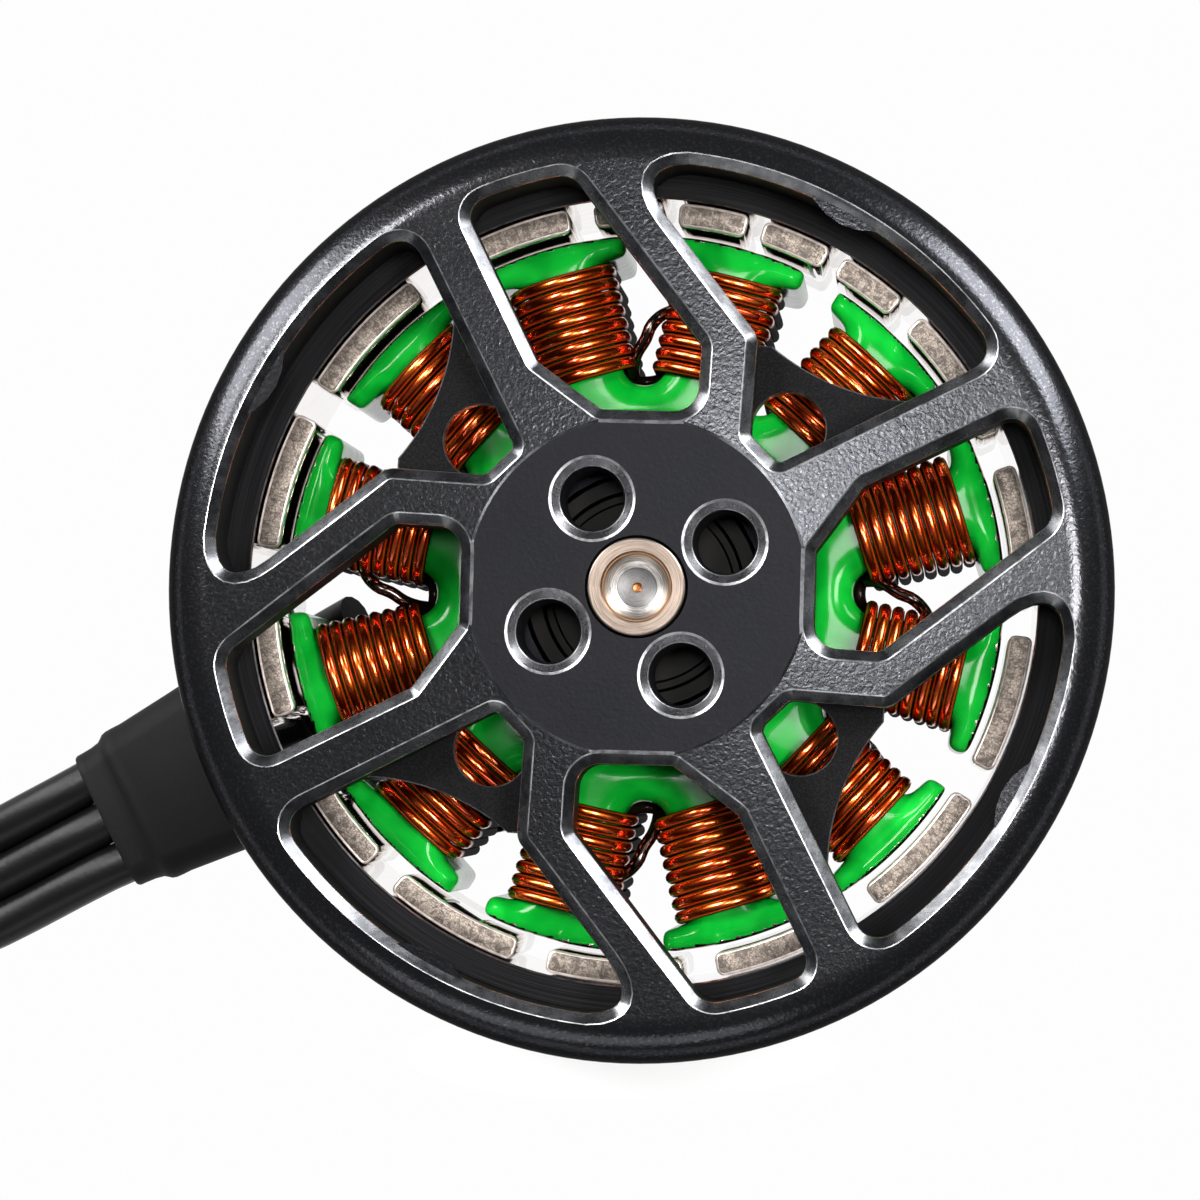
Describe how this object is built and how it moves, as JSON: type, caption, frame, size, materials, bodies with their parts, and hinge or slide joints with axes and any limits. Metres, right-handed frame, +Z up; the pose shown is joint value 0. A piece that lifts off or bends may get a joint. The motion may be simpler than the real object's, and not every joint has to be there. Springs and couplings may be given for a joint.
{
  "type": "brushless drone motor",
  "caption": "Brushless outrunner motor for a drone: spoked bell with magnets, wound stator, base with screw arms, and leads.",
  "frame": {"origin": "centre of the base's mounting face, on the shaft's axis", "axes": "+Z up along the shaft's axis from the mounting face to the propeller seat; the leads leave at 206.6 degrees about +Z from +X"},
  "size_m": [0.0854, 0.0481, 0.0251],
  "materials": {
    "black_anodised_aluminium": "black anodised, satin",
    "dark_steel": "blackened, finely turned",
    "nickel_plate": "nickel plated, mottled",
    "green_coat": "thick glossy green coat on steel laminations",
    "enamelled_copper": "copper wire under clear orange enamel, glossy",
    "bright_steel": "turned, bright",
    "cage_steel": "pressed, satin",
    "black_sleeve": "matt heat-shrink",
    "black_insulation": "satin silicone",
    "tinned_copper": "solder tinned"
  },
  "bodies": {
    "stator": {"base": "black_anodised_aluminium", "stator_core": "green_coat", "winding_01": "enamelled_copper", "winding_02": "enamelled_copper", "winding_03": "enamelled_copper", "winding_04": "enamelled_copper", "winding_05": "enamelled_copper", "winding_06": "enamelled_copper", "winding_07": "enamelled_copper", "winding_08": "enamelled_copper", "winding_09": "enamelled_copper", "winding_10": "enamelled_copper", "winding_11": "enamelled_copper", "winding_12": "enamelled_copper", "lower_bearing_outer_race": "bright_steel", "upper_bearing_outer_race": "bright_steel", "lead_sleeve": "black_sleeve", "lead_a": "black_insulation", "lead_b": "black_insulation", "lead_c": "black_insulation", "lead_a_tinned_end": "tinned_copper", "lead_b_tinned_end": "tinned_copper", "lead_c_tinned_end": "tinned_copper"},
    "rotor": {"bell": "black_anodised_aluminium", "flux_ring": "dark_steel", "magnet_01": "nickel_plate", "magnet_02": "nickel_plate", "magnet_03": "nickel_plate", "magnet_04": "nickel_plate", "magnet_05": "nickel_plate", "magnet_06": "nickel_plate", "magnet_07": "nickel_plate", "magnet_08": "nickel_plate", "magnet_09": "nickel_plate", "magnet_10": "nickel_plate", "magnet_11": "nickel_plate", "magnet_12": "nickel_plate", "magnet_13": "nickel_plate", "magnet_14": "nickel_plate", "magnet_15": "nickel_plate", "magnet_16": "nickel_plate", "shaft": "bright_steel", "lower_bearing_inner_race": "bright_steel", "upper_bearing_inner_race": "bright_steel", "lower_shim": "bright_steel", "upper_shim": "bright_steel", "retaining_ring": "dark_steel"},
    "lower_cage": {"lower_bearing_ball_cage": "cage_steel"},
    "upper_cage": {"upper_bearing_ball_cage": "cage_steel"}
  },
  "joints": [
    {"name": "rotor_spin", "type": "hinge", "parent": "stator", "child": "rotor", "pos_m": [0, 0, 0.0125], "axis": [0, 0, 1], "continuous": true},
    {"name": "lower_cage_spin", "type": "hinge", "parent": "stator", "child": "lower_cage", "pos_m": [0, 0, 0.0044], "axis": [0, 0, 1], "continuous": true},
    {"name": "upper_cage_spin", "type": "hinge", "parent": "stator", "child": "upper_cage", "pos_m": [0, 0, 0.0169], "axis": [0, 0, 1], "continuous": true}
  ],
  "couplings": [
    {"joint": "lower_cage_spin", "follows": "rotor_spin", "ratio": 0.3775},
    {"joint": "upper_cage_spin", "follows": "rotor_spin", "ratio": 0.3775}
  ]
}
